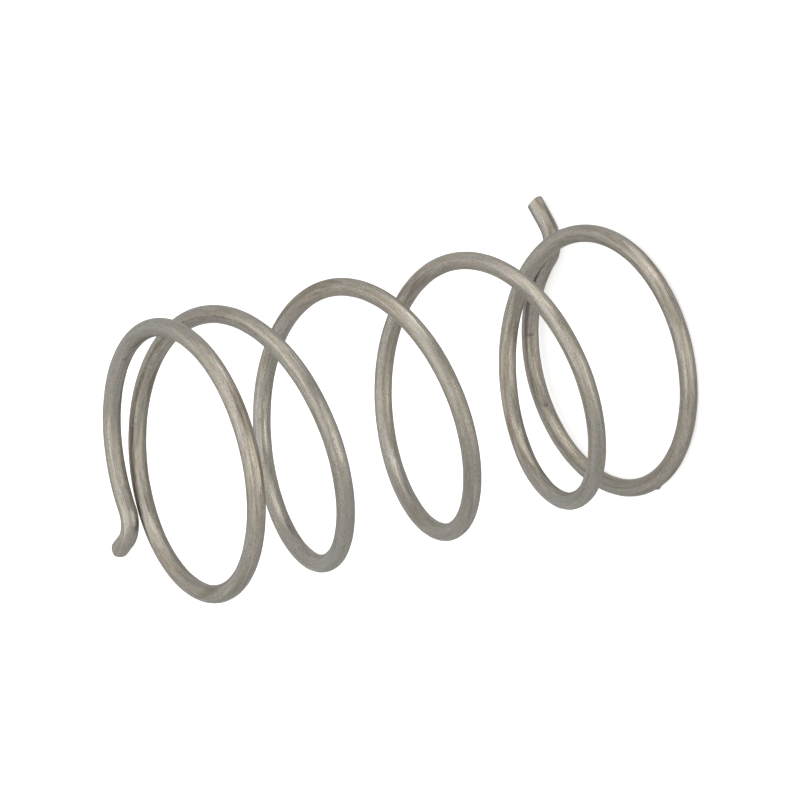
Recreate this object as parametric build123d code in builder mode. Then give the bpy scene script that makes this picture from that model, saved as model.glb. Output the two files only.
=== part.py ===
from build123d import *
from math import atan, cos, hypot, pi, radians, sin
import os

os.makedirs("parts", exist_ok=True)

# A small compression spring: one length of round wire, wound right-handed.
# It stands on end. The coil's axis is Z and the lower end coil rests on Z = 0.
# Both end coils are closed, and each end of the wire is bent outwards into a short tang.
# The wire's lower bend starts over the +X axis.
# Millimetres; angles in degrees; places along the wire in turns, counted from a bend.

# --- wire and coil ---
wire_d = 1.2               # diameter of the wire
coil_r = 8.8               # axis to the middle of the wire
coil_turns = 5.203         # from the lower bend to the upper bend
pitch_open = 9.80          # rise per turn in the middle of the spring
pitch_wide = 11.04         # rise per turn where the lower end coil opens, the widest place

# --- lower end coil, turns counted from the lower bend ---
lower_gap = 0.18           # air between the wire's end and the turn above it
lower_lift = 5.64          # extra rise per turn at the very end, from the bending of the tang
lower_lift_turns = 0.258   # this far from the bend the extra rise is gone
lower_closed_turns = 0.41  # the closed coil starts to open
lower_open_turns = 1.311   # and is open
lower_wide_turns = 2.112   # the widest pitch has come down to pitch_open
lower_flare = 0.24         # the end coil is this much larger in radius at the bend
lower_flare_turns = 1.68   # and has the common radius this far from the bend

# --- upper end coil, turns counted from the upper bend ---
upper_gap = 0.12           # air between the wire's end and the turn below it
upper_closed_turns = 0.705 # the closed coil starts to open
upper_open_turns = 1.215   # and is open
upper_flare = 0.18         # the end coil is this much larger in radius at the bend
upper_flare_turns = 1.0    # and has the common radius this far from the bend
upper_shift = 0.27         # the middle of the closed coil stands this far beside the axis
upper_shift_way = 156.6    # towards this side of the axis, from +X
upper_aside_turns = 0.7    # the closed coil stands fully aside
upper_centred_turns = 1.0  # and from here on the coil is centred on the axis

# --- tangs ---
bend_r = 1.84              # bend radius, to the middle of the wire
lower_bend = 82.8          # how far the wire turns out of its coil
lower_rise = 3.1           # how far that bend leans up
lower_straight = 2.0       # straight length after the bend
upper_bend = 80.3
upper_rise = 4.2
upper_straight = 1.39
end_break = 0.08           # broken edge round each cut end

biarcs_per_turn = 6        # the coil is drawn as pairs of circular arcs, this many to a turn


def ramp(u, a, b):
    """0 up to turn a, 1 from turn b, and a smooth step between."""
    v = min(max((u - a) / (b - a), 0), 1)
    return v * v * (3 - 2 * v)


def ramp_slope(u, a, b):
    """How fast ramp climbs at u, per turn."""
    v = min(max((u - a) / (b - a), 0), 1)
    return 6 * v * (1 - v) / (b - a)


def ramp_area(u, a, b):
    """The area under ramp from 0 to u, which is what a pitch adds to the height."""
    v = min(max((u - a) / (b - a), 0), 1)
    return (b - a) * (v ** 3 - v ** 4 / 2) + max(u - b, 0)


# The pitch of each closed coil follows from the air left one turn on from its bend.
opened = ramp_area(1, lower_closed_turns, lower_open_turns)
lifted = lower_lift * (1 - ramp_area(1, 0, lower_lift_turns))
lower_pitch = (wire_d + lower_gap - lifted - pitch_wide * opened) / (1 - opened)
opened = ramp_area(1, upper_closed_turns, upper_open_turns)
upper_pitch = (wire_d + upper_gap - pitch_open * opened) / (1 - opened)

# Every change of pitch on the way up: from this turn, to this turn, by this much.
top_open, top_closed = coil_turns - upper_open_turns, coil_turns - upper_closed_turns
pitch_steps = [
    (0, lower_lift_turns, -lower_lift),
    (lower_closed_turns, lower_open_turns, pitch_wide - lower_pitch),
    (lower_open_turns, lower_wide_turns, pitch_open - pitch_wide),
    (top_open, top_closed, upper_pitch - pitch_open),
]
first_pitch = lower_pitch + lower_lift

# The same for the radius, and the stretch where the closed upper coil steps aside.
radius_steps = [
    (0, lower_flare_turns, -lower_flare),
    (coil_turns - upper_flare_turns, coil_turns, upper_flare),
]
aside_step = coil_turns - upper_centred_turns, coil_turns - upper_aside_turns
aside = Vector(cos(radians(upper_shift_way)), sin(radians(upper_shift_way))) * upper_shift


def pitch(u):
    return first_pitch + sum(c * ramp(u, a, b) for a, b, c in pitch_steps)


def height(u):
    return first_pitch * u + sum(c * ramp_area(u, a, b) for a, b, c in pitch_steps)


def radius(u):
    return coil_r + lower_flare + sum(c * ramp(u, a, b) for a, b, c in radius_steps)


def widening(u):
    return sum(c * ramp_slope(u, a, b) for a, b, c in radius_steps)


# The lowest place of the lower end coil, or of its bend, rests on Z = 0.
slope = sin(atan(first_pitch / (2 * pi * radius(0))))
lean = sin(radians(lower_rise))
bend_dip = bend_r * (hypot(slope, lean) - lean)
coil_dip = -min(height(k / 100) for k in range(101))
base = wire_d / 2 + max(bend_dip, coil_dip)


def centre(u):
    """The middle of the wire, u turns up from the lower bend."""
    a = 2 * pi * u
    on_axis = Vector(radius(u) * cos(a), radius(u) * sin(a), base + height(u))
    return on_axis + aside * ramp(u, *aside_step)


def heading(u):
    """The wire's direction there, up the coil."""
    a = 2 * pi * u
    outward = Vector(cos(a), sin(a)) * widening(u) + aside * ramp_slope(u, *aside_step)
    onward = Vector(-sin(a), cos(a)) * (2 * pi * radius(u)) + Vector(0, 0, pitch(u))
    return (onward + outward).normalized()


def tang(u, ahead, turn, rise, straight):
    """Points of a bend out of the coil and the straight after it: arc middle, arc end, tip."""
    a = 2 * pi * u
    lean = radians(rise)
    out = Vector(cos(a) * cos(lean), sin(a) * cos(lean), sin(lean))
    out = (out - ahead * out.dot(ahead)).normalized()

    def on_arc(angle):
        return centre(u) + ahead * (bend_r * sin(angle)) + out * (bend_r * (1 - cos(angle)))

    way = ahead * cos(radians(turn)) + out * sin(radians(turn))
    end = on_arc(radians(turn))
    return on_arc(radians(turn) / 2), end, end + way * straight, way


low_mid, low_end, low_tip, low_way = tang(0, heading(0) * -1, lower_bend, lower_rise, lower_straight)
top_mid, top_end, top_tip, top_way = tang(
    coil_turns, heading(coil_turns), upper_bend, upper_rise, upper_straight
)


def arc_pair(u0, u1):
    """Two circular arcs, one running smoothly into the other, from turn u0 to turn u1."""
    start, end = centre(u0), centre(u1)
    before, after = heading(u0), heading(u1)
    across = end - start
    along = across.dot(before + after)
    bow = 2 * (1 - before.dot(after))
    reach = (-along + (along ** 2 + bow * across.dot(across)) ** 0.5) / bow
    first, second = start + before * reach, end - after * reach
    middle = (first + second) / 2
    TangentArc(start, middle, tangent=before)
    TangentArc(middle, end, tangent=second - first)


count = round(coil_turns * biarcs_per_turn)
stops = [coil_turns * k / count for k in range(count + 1)]

with BuildPart() as coil_spring:
    with BuildLine() as wire:
        Line(low_tip, low_end)
        ThreePointArc(low_end, low_mid, centre(0))
        for u0, u1 in zip(stops, stops[1:]):
            arc_pair(u0, u1)
        ThreePointArc(centre(coil_turns), top_mid, top_end)
        Line(top_end, top_tip)
    with BuildSketch(Plane(origin=low_tip, z_dir=low_way * -1)):
        Circle(wire_d / 2)
    sweep(path=wire.line)
    cut_rims = coil_spring.edges().filter_by(GeomType.CIRCLE).group_by(
        lambda e: min((e.arc_center - low_tip).length, (e.arc_center - top_tip).length)
    )[0]
    chamfer(cut_rims, end_break)

coil_spring.part.label = "coil_spring"
print("volume", round(coil_spring.part.volume, 3), "solids", len(coil_spring.part.solids()))
print("box", coil_spring.part.bounding_box())
print("lower tang: middle", (low_end + low_tip) / 2, "way", low_way)
print("upper tang: middle", (top_end + top_tip) / 2, "way", top_way)
print("pitches", round(lower_pitch, 3), round(upper_pitch, 3), "height", round(base + height(coil_turns), 3))
export_step(coil_spring.part, "parts/coil_spring.step")
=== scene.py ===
# %% [markdown]
# # A small compression spring
#
# The object is one length of round steel wire, 1.2 mm thick and about 300 mm long, wound into
# five turns. It has open turns in the middle, a closed turn at each end for it to stand on, and a
# short tail, the tang, bent outwards at each cut end.
#
# The CAD model already holds the exact size and place of that wire. Here it gets what a plain solid
# lacks: cut ends, small knocks from handling, and a drawn steel finish with its die lines. Sizes
# are written in millimetres, and `MM` turns them into Blender's metres.

import math

import bpy
import numpy as np
from mathutils import Matrix, Vector


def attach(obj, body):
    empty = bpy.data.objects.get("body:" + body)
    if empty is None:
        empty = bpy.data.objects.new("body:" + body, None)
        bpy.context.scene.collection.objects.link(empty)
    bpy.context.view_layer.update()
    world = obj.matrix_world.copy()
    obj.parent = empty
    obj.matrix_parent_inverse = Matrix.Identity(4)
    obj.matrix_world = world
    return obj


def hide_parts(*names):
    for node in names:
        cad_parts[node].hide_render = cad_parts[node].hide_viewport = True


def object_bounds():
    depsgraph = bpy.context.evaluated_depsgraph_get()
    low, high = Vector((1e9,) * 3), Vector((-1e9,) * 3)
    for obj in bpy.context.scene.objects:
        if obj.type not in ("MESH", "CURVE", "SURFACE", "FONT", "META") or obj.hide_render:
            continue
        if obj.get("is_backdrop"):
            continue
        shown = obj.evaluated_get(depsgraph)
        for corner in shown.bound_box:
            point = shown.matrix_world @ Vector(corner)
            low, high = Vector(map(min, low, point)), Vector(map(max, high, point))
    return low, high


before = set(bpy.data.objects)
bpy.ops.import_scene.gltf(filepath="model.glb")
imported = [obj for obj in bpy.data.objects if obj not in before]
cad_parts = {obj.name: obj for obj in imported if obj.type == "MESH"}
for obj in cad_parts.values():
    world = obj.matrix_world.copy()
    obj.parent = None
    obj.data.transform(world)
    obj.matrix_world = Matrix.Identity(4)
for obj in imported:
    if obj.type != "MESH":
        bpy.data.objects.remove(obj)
cad_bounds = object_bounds()
MM = 0.001
print("CAD node:", sorted(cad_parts))
print("CAD box:", [[round(1000 * float(c), 2) for c in corner] for corner in cad_bounds], "mm")

# %% [markdown]
# ## The camera
#
# A spring is a see-through shape: from a wrong angle its rings close up into a tangle. A long lens
# from well away keeps all the rings nearly the same size, and a view from above one end opens each
# ring into a clear ellipse. The camera is placed by three things that a photographer would set: where
# it looks, from which side, and how far it is rolled about its own axis. The roll lays the spring on
# its side in the picture while it goes on standing on its seat in the scene.

# %% Place the camera
look_at = Vector((0.455, -0.256, 17.725)) * MM
camera_azimuth = math.radians(-120.713)
camera_height = math.radians(30.764)
camera_distance = 279.24 * MM
camera_roll = math.radians(103.052)

away = Vector((
    math.cos(camera_height) * math.cos(camera_azimuth),
    math.cos(camera_height) * math.sin(camera_azimuth),
    math.sin(camera_height),
))
level_right = Vector((0, 0, 1)).cross(away).normalized()
level_up = away.cross(level_right)
picture_up = level_up * math.cos(camera_roll) + level_right * math.sin(camera_roll)
picture_right = picture_up.cross(away)

camera_data = bpy.data.cameras.new("camera")
camera_data.sensor_width = 36
camera_data.lens = 188.454
camera_data.clip_start = 0.01
camera = bpy.data.objects.new("camera", camera_data)
bpy.context.scene.collection.objects.link(camera)
turned = Matrix((picture_right, picture_up, away)).transposed().to_4x4()
camera.matrix_world = Matrix.Translation(look_at + away * camera_distance) @ turned
bpy.context.scene.camera = camera
print("camera at", [round(c * 1000, 1) for c in camera.location], "mm")

# %% [markdown]
# ## Light
#
# Metal shows little colour of its own. What the eye reads as steel is the room mirrored in it, so the
# light is a set of pale shapes for the wire to mirror. A plain soft world, a little paler above than
# below, fills in everything. A tall soft box on one side draws the long bright line along each ring.
# A low one, on the camera's side and mostly beneath the floor, draws the second line, and a wide one
# overhead lights the tops of the rings. The darker gaps between the boxes are what makes the wire look
# round. To the camera the world is plain white, so the background is clean with no more light on the
# wire.

# %% Soft world, white behind the spring
def seen_share(nodes, links, to_camera, to_gloss):
    """How much of the white background a ray gets: one number for the camera, one for mirror rays."""
    path = nodes.new("ShaderNodeLightPath")
    mirrored = nodes.new("ShaderNodeMath")
    mirrored.operation = "MAXIMUM"
    links.new(path.outputs["Is Glossy Ray"], mirrored.inputs[0])
    links.new(path.outputs["Is Transmission Ray"], mirrored.inputs[1])
    part = nodes.new("ShaderNodeMath")
    part.operation = "MULTIPLY"
    part.inputs[1].default_value = to_gloss
    links.new(mirrored.outputs[0], part.inputs[0])
    whole = nodes.new("ShaderNodeMath")
    whole.operation = "MULTIPLY_ADD"
    whole.inputs[1].default_value = to_camera
    links.new(path.outputs["Is Camera Ray"], whole.inputs[0])
    links.new(part.outputs[0], whole.inputs[2])
    return whole.outputs[0]


world = bpy.data.worlds.new("studio")
world.use_nodes = True
bpy.context.scene.world = world
nodes, links = world.node_tree.nodes, world.node_tree.links
nodes.clear()
room = nodes.new("ShaderNodeBackground")
room.inputs["Color"].default_value = (0.97, 0.985, 1.0, 1)
way_seen = nodes.new("ShaderNodeTexCoord")
split = nodes.new("ShaderNodeSeparateXYZ")
room_level, room_rise = 0.64, 0.28
rise = nodes.new("ShaderNodeMath")
rise.operation = "MULTIPLY_ADD"
rise.inputs[1].default_value = room_rise
rise.inputs[2].default_value = room_level
links.new(way_seen.outputs["Generated"], split.inputs["Vector"])
links.new(split.outputs["Z"], rise.inputs[0])
links.new(rise.outputs[0], room.inputs["Strength"])
sheet = nodes.new("ShaderNodeBackground")
sheet.inputs["Color"].default_value = (1, 1, 1, 1)
sheet.inputs["Strength"].default_value = 1.0
pick = nodes.new("ShaderNodeMixShader")
world_out = nodes.new("ShaderNodeOutputWorld")
white_to_camera, white_to_gloss = 1.0, 0.4
links.new(seen_share(nodes, links, white_to_camera, white_to_gloss), pick.inputs["Fac"])
links.new(room.outputs[0], pick.inputs[1])
links.new(sheet.outputs[0], pick.inputs[2])
links.new(pick.outputs[0], world_out.inputs["Surface"])
bpy.context.scene.view_settings.view_transform = "Standard"
print("world strength", [round(room_level + room_rise * z, 2) for z in (-1, 0, 1)], "from below up")


# %% Soft boxes
def soft_box(name, azimuth, height, distance, width, tall, power, colour):
    """A rectangular lamp that looks at the middle of the spring: degrees, millimetres and watts."""
    data = bpy.data.lights.new(name, "AREA")
    data.shape = "RECTANGLE"
    data.size = width * MM
    data.size_y = tall * MM
    data.energy = power
    data.color = colour
    lamp = bpy.data.objects.new(name, data)
    bpy.context.scene.collection.objects.link(lamp)
    a, h = math.radians(azimuth), math.radians(height)
    way = Vector((math.cos(h) * math.cos(a), math.cos(h) * math.sin(a), math.sin(h)))
    lamp.location = look_at + way * distance * MM
    lamp.rotation_euler = way.to_track_quat("Z", "Y").to_euler()
    lamp.visible_camera = False


soft_box("side_box", -61, 1, 420, 322, 392, 0.73, (1.0, 0.95, 0.91))
soft_box("low_box", -132, -16, 420, 306, 340, 0.61, (1.0, 0.96, 0.87))
soft_box("top_box", -80, 72, 450, 700, 700, 1.50, (1.0, 0.975, 0.95))

# %% [markdown]
# ## A dark card
#
# Photographers of polished metal stand black cards between their soft boxes. The card lights nothing;
# the metal mirrors it as a thin dark line beside each bright one, and that line is what shows where the
# surface turns. It is hidden from the camera, as the lamps are.

# %% Card between the boxes
def upright_card(name, azimuth, low, high, distance, width):
    """A flat card at a side of the spring, between two heights in degrees, that faces the spring."""
    a = math.radians(azimuth)
    out = np.array([math.cos(a), math.sin(a)])
    side_way = np.array([-out[1], out[0]]) * width / 2
    z = [look_at.z / MM + distance * math.tan(math.radians(h)) for h in (low, high)]
    feet = [out * distance - side_way, out * distance + side_way]
    corners = [(*feet[0], z[0]), (*feet[1], z[0]), (*feet[1], z[1]), (*feet[0], z[1])]
    mesh = bpy.data.meshes.new(name)
    mesh.from_pydata((np.array(corners) * MM).tolist(), [], [(0, 1, 2, 3)])
    card = bpy.data.objects.new(name, mesh)
    bpy.context.scene.collection.objects.link(card)
    card.visible_camera = False
    black = bpy.data.materials.new("black_card")
    black.use_nodes = True
    matte = black.node_tree.nodes["Principled BSDF"]
    matte.inputs["Base Color"].default_value = (0.02, 0.02, 0.02, 1)
    matte.inputs["Roughness"].default_value = 0.9
    mesh.materials.append(black)
    card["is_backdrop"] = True


upright_card("card", azimuth=-85, low=-50, high=20, distance=400, width=70)

# %% [markdown]
# ## Floor
#
# The spring stands on a plain pale table. To the camera the sheet has a little glow of its own on top
# of its pale colour, which brings it up to white while a faint shadow stays in it. Mirrored rays and
# the lamps' light pass through the sheet, as on a light table, so the wire shows the pale room and
# the low soft box that reaches beneath it, as well as the boxes above.

# %% Floor
half_side = 3.0
floor_mesh = bpy.data.meshes.new("floor")
corners = np.array([(-1, -1, 0), (1, -1, 0), (1, 1, 0), (-1, 1, 0)]) * half_side
floor_mesh.from_pydata(corners.tolist(), [], [(0, 1, 2, 3)])
floor = bpy.data.objects.new("floor", floor_mesh)
bpy.context.scene.collection.objects.link(floor)

paper = bpy.data.materials.new("pale_floor")
paper.use_nodes = True
nodes, links = paper.node_tree.nodes, paper.node_tree.links
matte = nodes["Principled BSDF"]
matte.inputs["Base Color"].default_value = (0.68, 0.675, 0.66, 1)
matte.inputs["Roughness"].default_value = 0.9
matte.inputs["Emission Color"].default_value = (1, 1, 1, 1)
glow_to_camera, glow_to_gloss = 0.60, 0.0
links.new(seen_share(nodes, links, glow_to_camera, glow_to_gloss), matte.inputs["Emission Strength"])
clear = nodes.new("ShaderNodeBsdfTransparent")
path = nodes.new("ShaderNodeLightPath")
passes = nodes.new("ShaderNodeMath")
passes.operation = "MAXIMUM"
links.new(path.outputs["Is Glossy Ray"], passes.inputs[0])
links.new(path.outputs["Is Shadow Ray"], passes.inputs[1])
either = nodes.new("ShaderNodeMixShader")
links.new(passes.outputs[0], either.inputs["Fac"])
links.new(matte.outputs[0], either.inputs[1])
links.new(clear.outputs[0], either.inputs[2])
links.new(either.outputs[0], nodes["Material Output"].inputs["Surface"])
floor_mesh.materials.append(paper)
floor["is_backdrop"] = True
print("floor", 2 * half_side, "m square")

# %% [markdown]
# ## The line of the wire
#
# A spring is easiest to think of as a walk round a circle that climbs as it goes. How fast it climbs
# is its pitch. Each closed end turn climbs about one wire thickness in all, so that it nearly lies on
# its neighbour; an open turn climbs eight or nine times that. Between the two the pitch changes
# smoothly, because the coiling tool moves while the wire runs. A plain Screw modifier has only one
# pitch, so the line is worked out here from the pitch itself, with the sizes that the CAD model has.

# %% Sizes of the coil
wire_d = 1.2
coil_r = 8.8
coil_turns = 5.203
pitch_open = 9.80
pitch_wide = 11.04
lower_gap = 0.18
lower_lift = 5.64
lower_lift_turns = 0.258
lower_closed_turns = 0.41
lower_open_turns = 1.311
lower_wide_turns = 2.112
lower_flare = 0.24
lower_flare_turns = 1.68
upper_gap = 0.12
upper_closed_turns = 0.705
upper_open_turns = 1.215
upper_flare = 0.18
upper_flare_turns = 1.0
upper_shift = 0.27
upper_shift_way = math.radians(156.6)
upper_aside_turns = 0.7
upper_centred_turns = 1.0
bend_r = 1.84
lower_bend, lower_rise, lower_straight = 82.8, 3.1, 2.0
upper_bend, upper_rise, upper_straight = 80.3, 4.2, 1.39
print("coil", 2 * coil_r, "mm mean diameter,", coil_turns, "turns")


# %% A smooth step, and the height that it adds
def ramp(u, a, b):
    """Rises from 0 at a to 1 at b as v*v*(3 - 2v), where v is how far u is from a to b."""
    v = np.clip((u - a) / (b - a), 0, 1)
    return v * v * (3 - 2 * v)


def ramp_slope(u, a, b):
    """How steep that ramp is at u: 6 * v * (1 - v) / (b - a)."""
    v = np.clip((u - a) / (b - a), 0, 1)
    return 6 * v * (1 - v) / (b - a)


def ramp_area(u, a, b):
    """The area under that ramp up to u: (b - a) * (v**3 - v**4 / 2), then one for one beyond b."""
    v = np.clip((u - a) / (b - a), 0, 1)
    return (b - a) * (v**3 - v**4 / 2) + np.maximum(u - b, 0)


opened = ramp_area(1, lower_closed_turns, lower_open_turns)
lifted = lower_lift * (1 - ramp_area(1, 0, lower_lift_turns))
lower_pitch = (wire_d + lower_gap - lifted - pitch_wide * opened) / (1 - opened)
opened = ramp_area(1, upper_closed_turns, upper_open_turns)
upper_pitch = (wire_d + upper_gap - pitch_open * opened) / (1 - opened)
first_pitch = lower_pitch + lower_lift
top_open, top_closed = coil_turns - upper_open_turns, coil_turns - upper_closed_turns
pitch_steps = [
    (0, lower_lift_turns, -lower_lift),
    (lower_closed_turns, lower_open_turns, pitch_wide - lower_pitch),
    (lower_open_turns, lower_wide_turns, pitch_open - pitch_wide),
    (top_open, top_closed, upper_pitch - pitch_open),
]
print("end pitches", round(float(lower_pitch), 3), round(float(upper_pitch), 3), "mm")

# %% [markdown]
# The radius changes by the same kind of step. Both end turns are coiled a little wider, which keeps
# them from slipping inside their neighbours, and the closed upper turn has sprung aside of the axis
# by a quarter of a millimetre, which is what an end turn does when its tang is bent.

# %% Pitch, height and radius after u turns
radius_steps = [
    (0, lower_flare_turns, -lower_flare),
    (coil_turns - upper_flare_turns, coil_turns, upper_flare),
]
aside_step = coil_turns - upper_centred_turns, coil_turns - upper_aside_turns
aside = upper_shift * np.array([math.cos(upper_shift_way), math.sin(upper_shift_way), 0])


def pitch(u):
    """Millimetres climbed in a turn: the first pitch and each change, faded in by its ramp."""
    return first_pitch + sum(c * ramp(u, a, b) for a, b, c in pitch_steps)


def height(u):
    """Millimetres climbed so far, which is the area under the pitch."""
    return first_pitch * u + sum(c * ramp_area(u, a, b) for a, b, c in pitch_steps)


def radius(u):
    """Radius of the coil: the wider lower turn's, and each change, faded in by its ramp."""
    return coil_r + lower_flare + sum(c * ramp(u, a, b) for a, b, c in radius_steps)


def widening(u):
    """Millimetres that the radius grows in a turn: the steepness of its ramps."""
    return sum(c * ramp_slope(u, a, b) for a, b, c in radius_steps)


tang_slope = math.sin(math.radians(lower_rise))
slope = math.sin(math.atan(first_pitch / (2 * math.pi * radius(0.0))))
bend_dip = bend_r * (math.hypot(slope, tang_slope) - tang_slope)
coil_dip = -min(float(height(k / 100)) for k in range(101))
base = wire_d / 2 + max(bend_dip, coil_dip)
print("middle of the wire starts", round(base, 4), "mm above the floor")


# %% The coil and its tails as points
def coil_point(u):
    """Point after u turns: radius times cosine and sine of the turn's angle, the height climbed, and
    the step aside."""
    a = 2 * np.pi * u
    on_axis = np.stack([radius(u) * np.cos(a), radius(u) * np.sin(a), base + height(u)], -1)
    return on_axis + ramp(u, *aside_step)[..., None] * aside


def coil_way(u):
    """Direction of the wire after u turns: once round the circle for one pitch up, and outwards and
    aside by as much as the radius grows and the coil steps aside in a turn."""
    a, r = 2 * np.pi * u, 2 * np.pi * radius(u)
    out = np.stack([np.cos(a), np.sin(a), 0 * a], -1) * (widening(u) + 0 * a)[..., None]
    way = np.stack([-r * np.sin(a), r * np.cos(a), pitch(u) + 0 * a], -1) + out
    way = way + ramp_slope(u, *aside_step)[..., None] * aside
    return way / np.linalg.norm(way, axis=-1, keepdims=True)


def tang_points(u, ahead, bend, rise, straight):
    """A tail that leaves the coil along ahead, bends outwards on an arc and ends in a straight run:
    on the arc it goes ahead by the sine of the angle turned and outwards by one less its cosine."""
    a, lean, bend = 2 * np.pi * u, math.radians(rise), math.radians(bend)
    out = np.array([np.cos(a) * np.cos(lean), np.sin(a) * np.cos(lean), np.sin(lean)])
    out = out - ahead * (out @ ahead)
    out = out / np.linalg.norm(out)
    t = np.linspace(0, bend, 200)[:, None]
    arc = coil_point(np.array(u)) + bend_r * (ahead * np.sin(t) + out * (1 - np.cos(t)))
    run = np.linspace(0, straight, 150)[1:, None]
    return np.concatenate([arc, arc[-1] + run * (ahead * np.cos(bend) + out * np.sin(bend))])


first_way, last_way = -coil_way(np.array(0.0)), coil_way(np.array(coil_turns))
lower_tang = tang_points(0.0, first_way, lower_bend, lower_rise, lower_straight)
upper_tang = tang_points(coil_turns, last_way, upper_bend, upper_rise, upper_straight)
coil = coil_point(np.linspace(0, coil_turns, 12000))
line = np.concatenate([lower_tang[::-1], coil[1:-1], upper_tang])
along_line = np.concatenate([[0], np.cumsum(np.linalg.norm(np.diff(line, axis=0), axis=1))])
wire_length = along_line[-1]
print("wire", round(float(wire_length), 2), "mm long")

# %% [markdown]
# ## Stations along the wire
#
# The wire will be a stack of thin rings, each with 40 points. Rings every 0.14 mm are enough for the
# plain coil, but a knock on the wire is only a third of a millimetre long and a sheared edge is smaller
# still. So the rings are set out by a density: it is 1 on plain wire and rises near each mark and
# each end. Adding the density up along the wire and cutting that sum into equal steps puts the rings
# close where detail needs them.

# %% Knocks on the wire
# Each row: millimetres from the lower end, turn round the wire (0 is its top, 0.25 faces out of the
# coil, 0.75 faces in), length along, width round, depth. A negative depth stands proud.
knocks = np.array([
    (16.30, 0.825, 0.30, 0.30, 0.030),
    (10.90, 0.850, 0.22, 0.35, 0.016),
    (30.40, 0.255, 0.14, 0.22, -0.110),
    (231.57, 0.835, 0.12, 0.18, -0.050),
    (232.77, 0.810, 0.30, 0.22, 0.030),
    (285.54, 0.820, 0.20, 0.24, 0.040),
    (295.68, 0.737, 0.22, 0.26, 0.040),
    (296.30, 0.697, 0.20, 0.20, -0.025),
    (273.99, 0.165, 0.35, 0.25, 0.014),
    (244.07, 0.810, 0.40, 0.25, 0.012),
])
print(len(knocks), "knocks")


# %% One mark
def mark(s, turn, row):
    """A row's mark: its amount times exp(-(distance / length)**2 - (arc / width)**2)."""
    at, side_turn, long, wide, amount = row
    arc = (np.abs(turn - side_turn + 0.5) % 1 - 0.5) * np.pi * wire_d
    return amount * np.exp(-(((s - at) / long) ** 2) - (arc / wide) ** 2)


print("a mark's whole amount at its middle:", float(mark(16.30, 0.825, knocks[0])), "mm")

# %% [markdown]
# The steel is made darker at three knocks near the lower end, and the lower tang is made lighter near
# its tip and darker along it. On three lower inner strands the list paints a bright streak, a painted
# highlight, with a darker streak beside each. These places change the colour alone, so they are a
# second list of the same kind, which becomes a number at each point of the mesh for the steel to read.

# %% Lighter and darker places, and painted highlights
# Each row: the same first four measures as a knock's, and by how much the steel is lighter there. A
# negative amount is darker.
mark_and_highlight_rows = np.array([
    # Three rows on the lower tang, lighter near its tip and darker along it; then the steel darker at
    # three knocks.
    (0.35, 0.700, 0.28, 0.22, 0.22),
    (1.20, 0.020, 2.40, 0.35, -0.16),
    (1.80, 0.720, 0.80, 0.12, -0.50),
    (10.90, 0.850, 0.12, 0.28, -0.50),
    (16.30, 0.827, 0.20, 0.20, -0.45),
    (30.40, 0.250, 0.15, 0.20, -0.30),
    # The 77.60, 130.30 and 187.90 rows are painted highlights, bright streaks on three lower inner
    # strands; the row after each is a darker streak beside it.
    (77.60, 0.800, 1.80, 0.15, 0.25),
    (78.80, 0.712, 1.80, 0.11, -0.38),
    (130.30, 0.840, 1.50, 0.13, 0.32),
    (133.40, 0.765, 1.50, 0.10, -0.48),
    (187.90, 0.815, 1.40, 0.14, 0.36),
    (190.30, 0.762, 0.95, 0.10, -0.52),
])


def mark_and_highlight_amount(s, turn):
    """By how much the steel is lighter at s and turn: the sum of all the rows there, painted highlights
    among them.
    """
    change = np.zeros(np.broadcast(s, turn).shape)
    for row in mark_and_highlight_rows:
        change += mark(s, turn, row)
    return change


# Counts the lighter and darker places and the painted highlights.
print(len(mark_and_highlight_rows), "rubbed or soiled places")

# %% Set out the rings
around = 40
plain_step = 0.14
knock_extra, knock_reach = 2.5, 0.6
end_extra, end_reach = 2.0, 0.5
fine = np.linspace(0, wire_length, 60001)
density = 1 + knock_extra * np.exp(-(((fine[:, None] - knocks[:, 0]) / knock_reach) ** 2)).sum(1)
density += end_extra * np.exp(-fine / end_reach)
density += end_extra * np.exp(-(wire_length - fine) / end_reach)
total = np.concatenate([[0], np.cumsum((density[1:] + density[:-1]) / 2 * np.diff(fine))])
ring_count = int(total[-1] / plain_step)
stations = np.interp(np.linspace(0, total[-1], ring_count), total, fine)
print(ring_count, "rings,", 2 * around * ring_count, "triangles or so")


# %% Point and directions at a station
def carried(values, s):
    """Values known along the line, read off at stations s."""
    return np.stack([np.interp(s, along_line, values[:, k]) for k in range(3)], -1)


line_way = np.gradient(line, axis=0)
line_way /= np.linalg.norm(line_way, axis=1, keepdims=True)


def wire_axes(s):
    """Centre, direction, top side and outer side of the wire at s: the top is +Z made square to it."""
    way = carried(line_way, s)
    way = way / np.linalg.norm(way, axis=-1, keepdims=True)
    top = np.array([0, 0, 1.0]) - way * way[..., 2:]
    top = top / np.linalg.norm(top, axis=-1, keepdims=True)
    return carried(line, s), way, top, np.cross(way, top)


print("way at the lower end", np.round(wire_axes(np.array([0.0]))[1][0], 3))

# %% [markdown]
# ## The skin of the wire
#
# Drawn wire isn't a perfect cylinder. The die leaves it very slightly out of round, the coiling
# rollers rub faint flats on it, and handling gives it small knocks. All of these are changes of
# radius, of a few thousandths of a millimetre, or a few hundredths for a knock. So they are one
# function of two numbers: how far along the wire a point is, and how far round it. The waves and flats
# are too small to see as shapes, but a long soft reflection that runs over them gets the slightly
# wandering edge that tells real wire from a tube.

# %% Radius of the skin
# Each flat: turn round the wire, half width in turns, depth, and the length and start of the slow wave
# by which it deepens and fades along the wire.
flats = [(0.27, 0.05, 0.006, 3.1, 0), (0.70, 0.06, 0.004, 4.7, 1)]
extra_radius = 0.005
wave_count, wave_depth = 40, 0.0009
rng = np.random.default_rng(7)
wave_length = rng.uniform(1.6, 14.0, wave_count)
wave_round = rng.integers(1, 6, wave_count)
wave_start = rng.uniform(0, 2 * np.pi, wave_count)


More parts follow.
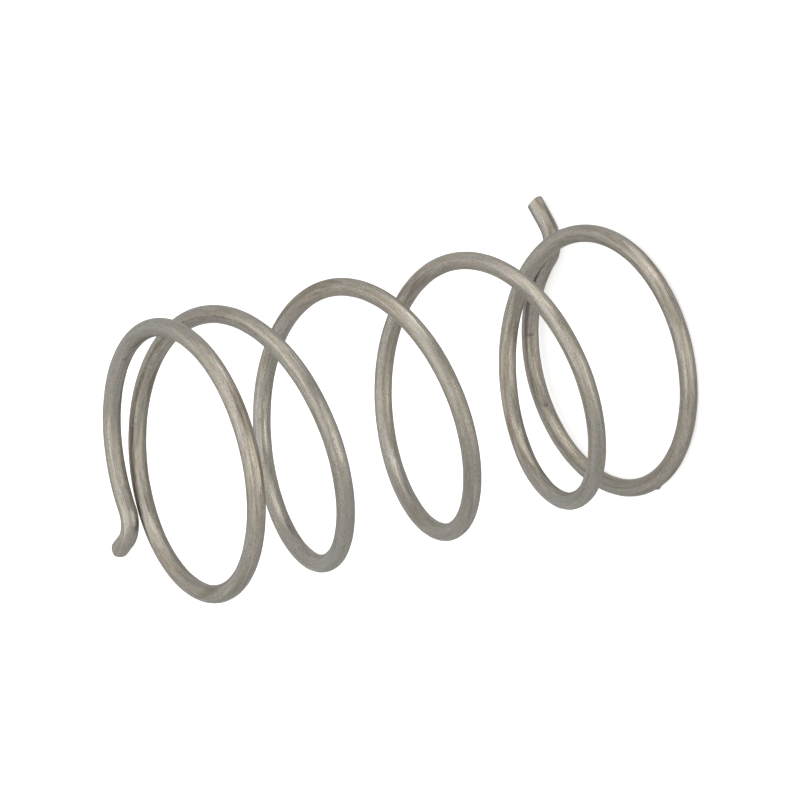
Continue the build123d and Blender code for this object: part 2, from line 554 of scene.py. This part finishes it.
def skin_radius(s, turn):
    """Wire radius at s and turn: round, less two soft flats, plus long waves, less each knock.

    It starts a little large. About 0.002 mm of that makes up for the flats and for the chords between
    the points. The rest is there because a grey wire on white renders a little thin at its edges."""
    r = np.full(np.broadcast(s, turn).shape, wire_d / 2 + extra_radius)
    for side_turn, wide, depth, length, start in flats:
        r -= depth * np.exp(-(((turn - side_turn) / wide) ** 2)) * (0.6 + 0.4 * np.sin(s / length + start))
    for length, rounds, start in zip(wave_length, wave_round, wave_start):
        r += wave_depth * np.sin(2 * np.pi * (s / length + rounds * turn) + start)
    for row in knocks:
        r -= mark(s, turn, row)
    return r


turn = np.linspace(0, 1, around, endpoint=False)[None, :]
probe = skin_radius(stations[:, None], turn)
print("skin radius from", round(probe.min(), 4), "to", round(probe.max(), 4), "mm")

# %% [markdown]
# ## Cut ends
#
# The wire is cut off, not sawn, and the two ends were cut in two ways. The lower one is sheared: the
# face is nearly flat, slants a fifth of a millimetre across the wire, and has a small step where the
# metal broke. The upper one is pinched off between two edges, which leaves two slopes that meet on a
# ridge, like a blunt chisel. Each end is the same stack of rings carried on: over the rolled edge,
# then in towards the middle in smaller rings, and at last to a single point that closes it.

# %% Shapes of the two end faces
shear_turn, shear_back, shear_slant, shear_step = 0.593, 0.065, 0.095, 0.02
step_place, step_width = -0.19, 0.05
pinch_turn, pinch_slope, ridge_place, ridge_round = 0.664, 0.25, 0.12, 0.05
lean_turn, lean = 0.907, 0.04


def sheared_face(turn, share):
    """Distance back from the lower tip: a slant across the wire, and a step of a tanh across it."""
    across = share * np.cos(2 * np.pi * (turn - shear_turn))
    return shear_back - shear_slant * across - shear_step * np.tanh((across - step_place) / step_width)


def pinched_face(turn, share):
    """Distance back from the upper tip: a rounded V across the wire, and a lean to one side."""
    across = share * np.cos(2 * np.pi * (turn - pinch_turn))
    aslant = share * np.cos(2 * np.pi * (turn - lean_turn))
    return pinch_slope * np.hypot(across - ridge_place, ridge_round) + lean * (1 + aslant)


def broken(share, turn, seed):
    """Broken metal: seven crossing waves of a few thousandths of a millimetre, nil at the middle."""
    draw = np.random.default_rng(seed)
    x, y = share * np.cos(2 * np.pi * turn), share * np.sin(2 * np.pi * turn)
    back = np.zeros(np.broadcast(x, y).shape)
    for way, waves, start in zip(*draw.uniform((0, 5, 0), (6.3, 15, 6.3), (7, 3)).T):
        back += 0.004 * np.sin(waves * (x * np.cos(way) + y * np.sin(way)) + start)
    return back * share


print("sheared face slants", 2 * shear_slant, "mm across the wire")


# %% Rings of an end
end_hold = 0.8
face_rings, roll_rings, wall_rings = 12, 6, 9


def end_stack(face, roll_turn, roll_mean, seed):
    """Rings from the middle of the end face to end_hold along the wire, as s, radius and cut share.

    The face goes out to the edge, a quarter circle of the roll's radius turns it into the wall, and
    the wall's rings even out from that slanted edge to a square ring."""
    roll = roll_mean * (1 + 0.5 * np.cos(2 * np.pi * (turn - roll_turn)))
    edge = face(turn, 1.0)
    share = np.linspace(0, 1, face_rings + 1)[1:, None]
    face_s = face(turn, share) + broken(share, turn, seed)
    face_r = (wire_d / 2 - roll) * share
    bend = np.linspace(np.pi / 2, 0, roll_rings + 1)[1:, None]
    roll_s = edge + roll * (1 - np.sin(bend))
    roll_r = skin_radius(roll_s, turn) - roll * (1 - np.cos(bend))
    wall = np.linspace(0, 1, wall_rings + 1)[1:, None] ** 1.3
    wall_s = (edge + roll) * (1 - wall) + end_hold * wall
    s = np.concatenate([face_s, roll_s, wall_s])
    r = np.concatenate([face_r, roll_r, skin_radius(wall_s, turn)])
    cut = np.concatenate([1 + 0 * face_s, 0.7 * np.sin(bend) ** 2 + 0 * turn, 0 * wall_s])
    return s, r, cut


lower_end = end_stack(sheared_face, roll_turn=0.093, roll_mean=0.03, seed=3)
upper_end = end_stack(pinched_face, roll_turn=lean_turn, roll_mean=0.09, seed=5)
print("end stacks", lower_end[0].shape, upper_end[0].shape)

# %% All rings in order
clear_of_ends = end_hold + 0.05
plain = stations[(stations > clear_of_ends) & (stations < wire_length - clear_of_ends)]
plain = plain[:, None] + 0 * turn
s_grid = np.concatenate([lower_end[0], plain, wire_length - upper_end[0][::-1]])
r_grid = np.concatenate([lower_end[1], skin_radius(plain, turn), upper_end[1][::-1]])
cut_grid = np.concatenate([lower_end[2], 0 * plain, upper_end[2][::-1]])
turn_grid = turn + 0 * s_grid
print(len(s_grid), "rings of", around, "points")


# %% Carry the rings along the wire
def wire_points(s, r, turn):
    """Centre of the wire at s, plus r times (top * cosine + outer side * sine) of the turn."""
    centre, _, top, outer = wire_axes(s)
    a = 2 * np.pi * turn[..., None]
    return centre + r[..., None] * (top * np.cos(a) + outer * np.sin(a))


def straight_points(s, r, turn):
    """The same points on the wire before it was coiled: s along, and r cosine and r sine across."""
    return np.stack([s, r * np.cos(2 * np.pi * turn), r * np.sin(2 * np.pi * turn)], -1)


pole_s = np.array([sheared_face(0, 0), wire_length - pinched_face(0, 0)])
points = np.concatenate([
    wire_points(s_grid, r_grid, turn_grid).reshape(-1, 3),
    wire_points(pole_s, 0 * pole_s, 0 * pole_s),
])
straight = np.concatenate([
    straight_points(s_grid, r_grid, turn_grid).reshape(-1, 3),
    straight_points(pole_s, 0 * pole_s, 0 * pole_s),
])
cut_share = np.concatenate([cut_grid.ravel(), [1, 1]])
mark_and_highlight_share = np.concatenate([mark_and_highlight_amount(s_grid, turn_grid).ravel(), [0, 0]])
print(len(points), "points")

# %% Join the rings into a closed skin
ring = np.arange(len(s_grid) - 1)[:, None] * around
here = np.arange(around)[None, :]
beside = (here + 1) % around
quads = np.stack([ring + here, ring + beside, ring + around + beside, ring + around + here], -1)
first_pole, last_pole = len(points) - 2, len(points) - 1
last_ring = (len(s_grid) - 1) * around
low_cap = np.stack([0 * here + first_pole, beside, here], -1)
top_cap = np.stack([0 * here + last_pole, last_ring + here, last_ring + beside], -1)
faces = quads.reshape(-1, 4).tolist() + low_cap.reshape(-1, 3).tolist() + top_cap.reshape(-1, 3).tolist()

wire_mesh = bpy.data.meshes.new("spring_wire")
wire_mesh.from_pydata((points * MM).tolist(), [], faces)
wire_mesh.polygons.foreach_set("use_smooth", np.ones(len(wire_mesh.polygons), bool))
before = wire_mesh.attributes.new("straight_wire", "FLOAT_VECTOR", "POINT")
before.data.foreach_set("vector", straight.astype(np.float32).ravel())
sheared = wire_mesh.attributes.new("sheared", "FLOAT", "POINT")
sheared.data.foreach_set("value", cut_share.astype(np.float32))
# The rows' lighter and darker places and painted highlights, as one number at each point.
mark_and_highlight_attribute = wire_mesh.attributes.new("marks_and_highlights", "FLOAT", "POINT")
mark_and_highlight_attribute.data.foreach_set("value", mark_and_highlight_share.astype(np.float32))
wire_mesh.update()
wire = bpy.data.objects.new("spring_wire", wire_mesh)
bpy.context.scene.collection.objects.link(wire)
print("triangles:", 2 * len(quads.reshape(-1, 4)) + 2 * around)

# %% [markdown]
# ## Drawn steel
#
# Spring wire is pulled cold through a die. That leaves very fine lines along it and a satin gloss, and
# the drawing soap and the heat of stress relieving leave a thin, uneven, slightly warm film. The
# patterns must run along the wire, through every bend. So they don't read the place of a point in
# the room: they read `straight_wire`, which says where the point was before the wire was coiled.
# Squeezing one noise along the wire makes lines; the same noise less squeezed makes patches.
#
# Real steel shows many weak patterns and no strong one, so each layer below is faint: two greys in
# broad bands, an olive film, worn places and thin scores that only some stretches have, die lines, a
# bloom that leans to pink or green, a slow drift from cool to warm, and specks. Some streaks differ in
# gloss alone. They show only inside a reflection, as a real polished streak does.

# %% Noise on the straight wire
steel = bpy.data.materials.new("drawn_steel")
steel.use_nodes = True
nodes, links = steel.node_tree.nodes, steel.node_tree.links
metal = nodes["Principled BSDF"]
on_wire = nodes.new("ShaderNodeAttribute")
on_wire.attribute_name = "straight_wire"
on_wire.attribute_type = "GEOMETRY"
cut_mark = nodes.new("ShaderNodeAttribute")
cut_mark.attribute_name = "sheared"
cut_mark.attribute_type = "GEOMETRY"
# Reads that number: lighter and darker places and painted highlights.
mark_and_highlight_node = nodes.new("ShaderNodeAttribute")
mark_and_highlight_node.attribute_name = "marks_and_highlights"
mark_and_highlight_node.attribute_type = "GEOMETRY"


def wire_noise(along, across, detail=3.0, roughness=0.55):
    """Noise whose cells are 1/along mm long and 1/across mm wide on the straight wire."""
    place = nodes.new("ShaderNodeMapping")
    place.inputs["Scale"].default_value = (along, across, across)
    noise = nodes.new("ShaderNodeTexNoise")
    noise.inputs["Scale"].default_value = 1.0
    noise.inputs["Detail"].default_value = detail
    noise.inputs["Roughness"].default_value = roughness
    links.new(on_wire.outputs["Vector"], place.inputs["Vector"])
    links.new(place.outputs["Vector"], noise.inputs["Vector"])
    return noise.outputs["Fac"]


def between(value, low, high, at_low, at_high):
    """Map Range: value from low to high becomes at_low to at_high, held at both ends."""
    node = nodes.new("ShaderNodeMapRange")
    node.inputs["From Min"].default_value = low
    node.inputs["From Max"].default_value = high
    node.inputs["To Min"].default_value = at_low
    node.inputs["To Max"].default_value = at_high
    links.new(value, node.inputs["Value"])
    return node.outputs["Result"]


def blend_colour(factor, a, b, mode="MIX"):
    """Mix Color: a and b are colours or outputs of nodes, mixed by factor."""
    node = nodes.new("ShaderNodeMix")
    node.data_type = "RGBA"
    node.blend_type = mode
    for name, kind, value in (("Factor", "VALUE", factor), ("A", "RGBA", a), ("B", "RGBA", b)):
        socket = next(i for i in node.inputs if i.name == name and i.type == kind)
        if isinstance(value, bpy.types.NodeSocket):
            links.new(value, socket)
        else:
            socket.default_value = value if kind == "VALUE" else (*value, 1)
    return next(o for o in node.outputs if o.type == "RGBA")


def thread(value, middle, width, most):
    """Most where value is at middle, and nothing from width away: a thin line along a contour."""
    away = nodes.new("ShaderNodeMath")
    away.operation = "SUBTRACT"
    links.new(value, away.inputs[0])
    away.inputs[1].default_value = middle
    size = nodes.new("ShaderNodeMath")
    size.operation = "ABSOLUTE"
    links.new(away.outputs[0], size.inputs[0])
    return between(size.outputs[0], 0, width, most, 0)


# Cells per mm along the wire, cells per mm across it, and how many finer layers each noise has.
die_lines = wire_noise(0.7, 16.0)
streaks = wire_noise(0.42, 5.0, 2.0, 0.5)
polish = wire_noise(0.30, 6.5, 2.0)
worn = wire_noise(0.26, 3.0, 2.5, 0.5)
bands = wire_noise(0.18, 2.4, 2.0)
film = wire_noise(0.12, 1.7, 2.0)
warmth = wire_noise(0.05, 0.55, 1.0)
bloom = wire_noise(2.2, 3.6, 1.0)
specks = wire_noise(9.0, 11.0, 2.0)
scores = thread(wire_noise(0.30, 6.0, 1.0), 0.5, 0.035, 0.5)
some_stretches = between(wire_noise(0.07, 0.9, 1.0), 0.40, 0.58, 0.25, 1)
print("noises:", len([n for n in nodes if n.type == "TEX_NOISE"]))

# %% Colours of the steel
light_grey = (0.335, 0.317, 0.290)
warm_grey = (0.356, 0.325, 0.276)
olive = (0.276, 0.258, 0.218)
brown = (0.205, 0.172, 0.132)
bright = (0.450, 0.422, 0.378)
score_dark = (0.160, 0.140, 0.114)
line_dark = (0.205, 0.188, 0.163)
speck_dark = (0.150, 0.128, 0.098)
fresh_cut = (0.34, 0.33, 0.30)
pink, green = (1.062, 1.016, 1.057), (0.948, 1.003, 0.938)
cool, warm = (0.988, 1.000, 1.012), (1.014, 0.994, 0.985)
print("greys:", light_grey, warm_grey)

# %% Layers of colour, from the widest to the finest
calm = blend_colour(between(bands, 0.42, 0.58, 0, 1), light_grey, warm_grey)
calm = blend_colour(between(film, 0.50, 0.62, 0, 0.6), calm, olive)
busy = blend_colour(between(worn, 0.54, 0.65, 0, 0.8), calm, brown)
busy = blend_colour(between(worn, 0.44, 0.33, 0, 0.6), busy, bright)
busy = blend_colour(scores, busy, score_dark)
tone = blend_colour(some_stretches, calm, busy)
tone = blend_colour(between(die_lines, 0.48, 0.70, 0, 0.30), tone, line_dark)
pink_to_green = blend_colour(between(bloom, 0.36, 0.64, 0, 1), pink, green)
tone = blend_colour(1.0, tone, pink_to_green, "MULTIPLY")
cool_to_warm = blend_colour(between(warmth, 0.38, 0.62, 0, 1), cool, warm)
tone = blend_colour(1.0, tone, cool_to_warm, "MULTIPLY")
tone = blend_colour(between(specks, 0.52, 0.72, 0, 0.7), tone, speck_dark)
tone = blend_colour(between(cut_mark.outputs["Fac"], 0.3, 1, 0, 0.6), tone, fresh_cut)
# Lighter and darker places and painted highlights from the rows, multiplied onto the steel.
tone = blend_colour(1.0, tone, between(mark_and_highlight_node.outputs["Fac"], -1, 1, 0, 2), "MULTIPLY")
links.new(tone, metal.inputs["Base Color"])
print("colour layers:", len([n for n in nodes if n.type == "MIX"]))

# %% Gloss and relief of the steel
gloss = nodes.new("ShaderNodeMath")
gloss.operation = "ADD"
links.new(between(polish, 0.47, 0.60, 0.46, 0.25), gloss.inputs[0])
links.new(between(cut_mark.outputs["Fac"], 0.3, 1, 0, 0.12), gloss.inputs[1])
links.new(gloss.outputs[0], metal.inputs["Roughness"])
metal.inputs["Metallic"].default_value = 0.8
metal.inputs["Specular Tint"].default_value = (0.85, 0.85, 0.85, 1)

# Each row: the noise, how strongly it counts, and how deep it is in millimetres.
reliefs = [(streaks, 0.75, 0.06), (die_lines, 0.40, 0.02), (specks, 0.70, 0.02)]
relief = None
for noise, strength, depth in reliefs:
    bump = nodes.new("ShaderNodeBump")
    bump.inputs["Strength"].default_value = strength
    bump.inputs["Distance"].default_value = depth * MM
    links.new(noise, bump.inputs["Height"])
    if relief:
        links.new(relief, bump.inputs["Normal"])
    relief = bump.outputs["Normal"]
links.new(relief, metal.inputs["Normal"])
wire_mesh.materials.append(steel)
print("steel nodes:", len(nodes))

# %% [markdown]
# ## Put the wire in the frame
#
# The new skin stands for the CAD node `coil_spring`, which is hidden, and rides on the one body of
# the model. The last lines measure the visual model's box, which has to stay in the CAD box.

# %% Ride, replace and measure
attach(wire, "root")
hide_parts("coil_spring")
visual_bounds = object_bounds()
sizes = {
    "cad": [[float(c) for c in corner] for corner in cad_bounds],
    "visual": [[float(c) for c in corner] for corner in visual_bounds],
}
for name, box in sizes.items():
    print(name, [[round(1000 * c, 3) for c in corner] for corner in box], "mm")
